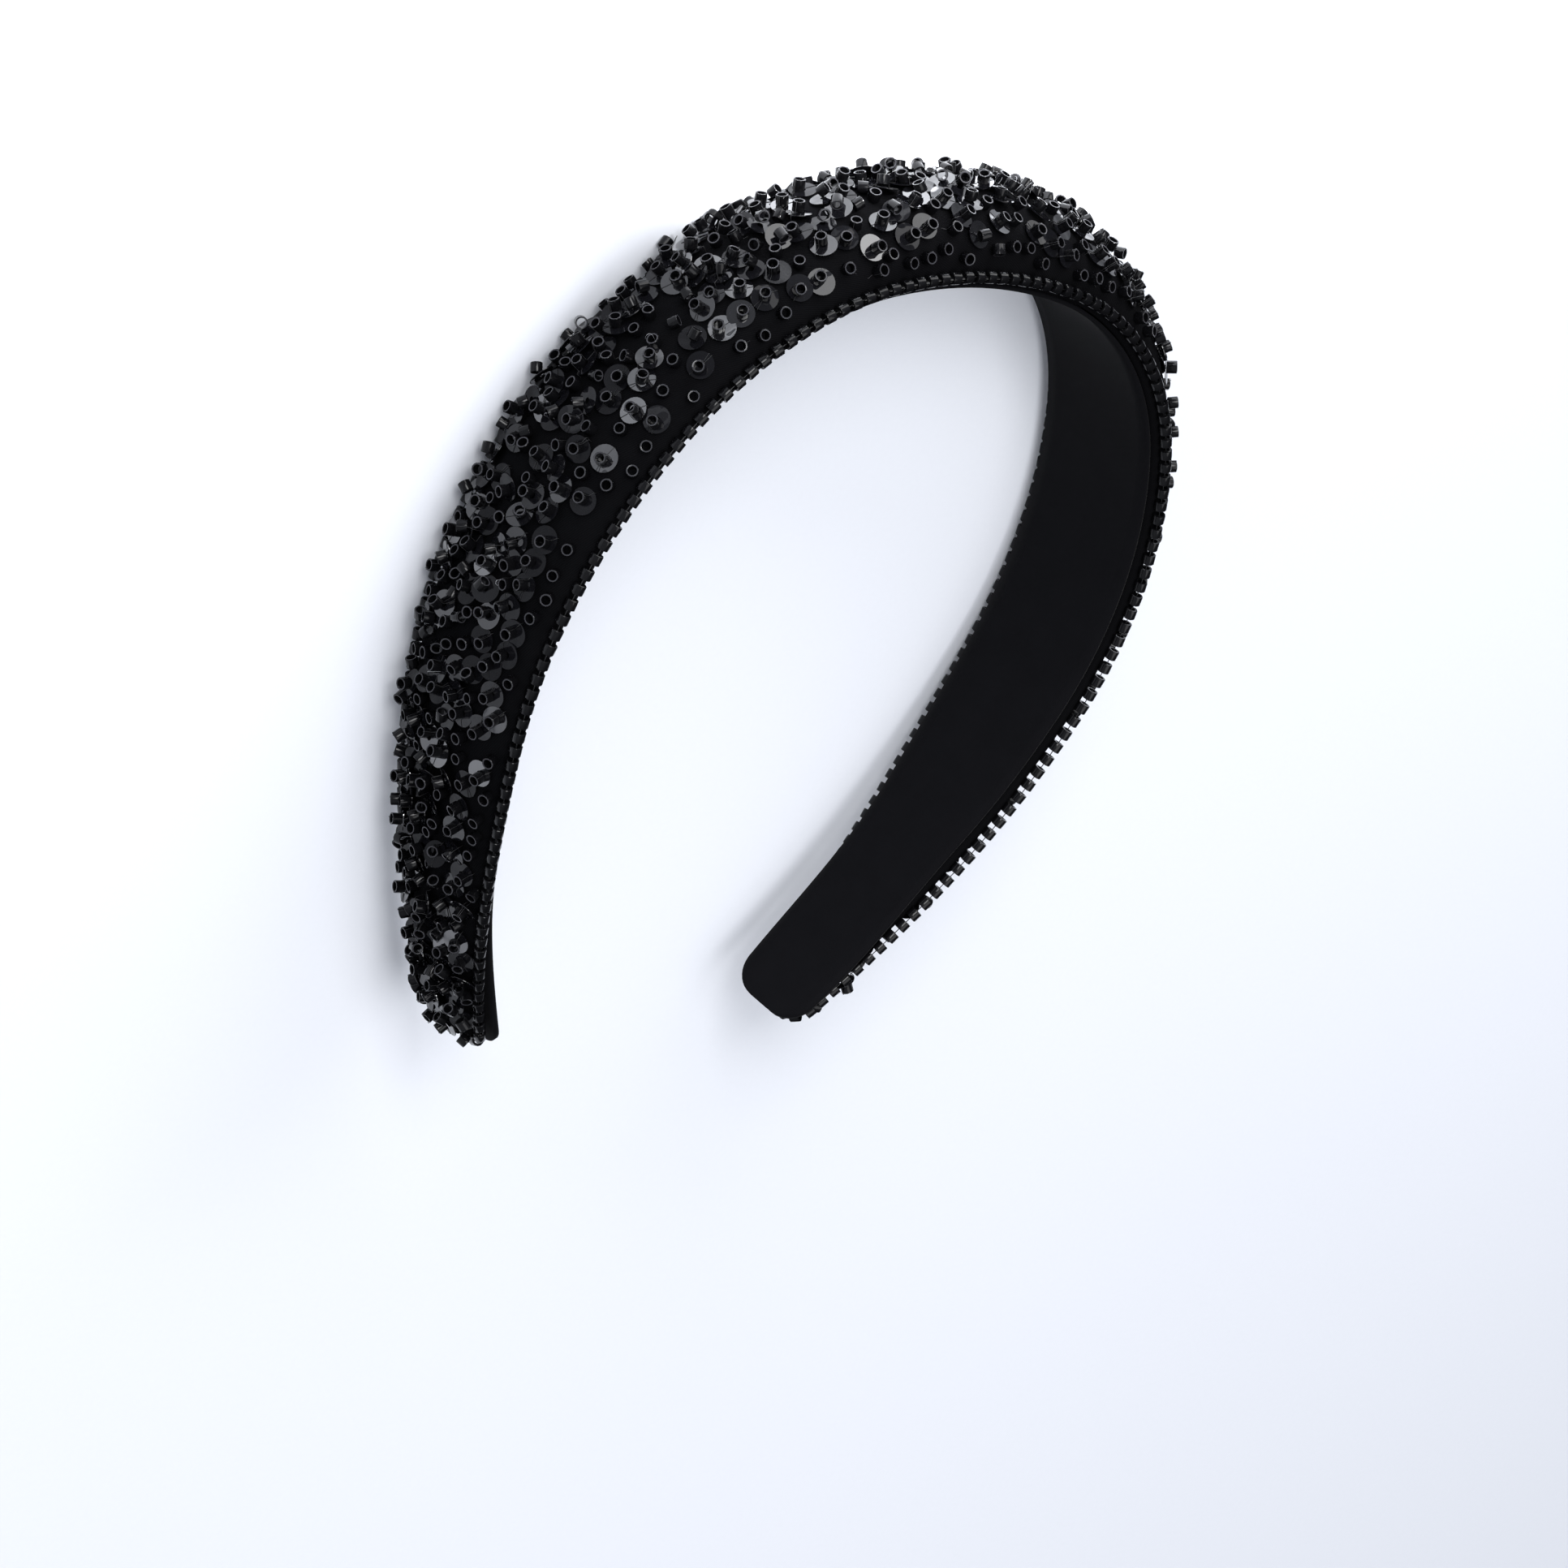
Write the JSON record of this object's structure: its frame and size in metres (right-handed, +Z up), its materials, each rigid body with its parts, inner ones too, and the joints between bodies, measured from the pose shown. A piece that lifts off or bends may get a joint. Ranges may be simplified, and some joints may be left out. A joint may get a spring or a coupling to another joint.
{
  "type": "padded headband",
  "caption": "Black padded headband: a domed cloth band that thins to squared tips, beaded and sequinned outside, lined inside, with a bead row round its rim.",
  "frame": {"origin": "centre of the underside, on the surface that the band lies on", "axes": "+Z up through the head opening, from the back edge it rests on to the front edge; +Y toward the crown of the band; X from leg to leg"},
  "size_m": [0.1582, 0.1756, 0.0345],
  "materials": {
    "cover_cloth": "black twill with a slight sheen over foam",
    "lining_cloth": "smooth matte black cloth, shown past the bead rows at the tips",
    "edge_beads": "glossy black cylinder beads"
  },
  "bodies": {
    "root": {"padded_cover": "cover_cloth", "lining": "lining_cloth", "front_bead_row": "edge_beads", "back_bead_row": "edge_beads"}
  },
  "joints": []
}
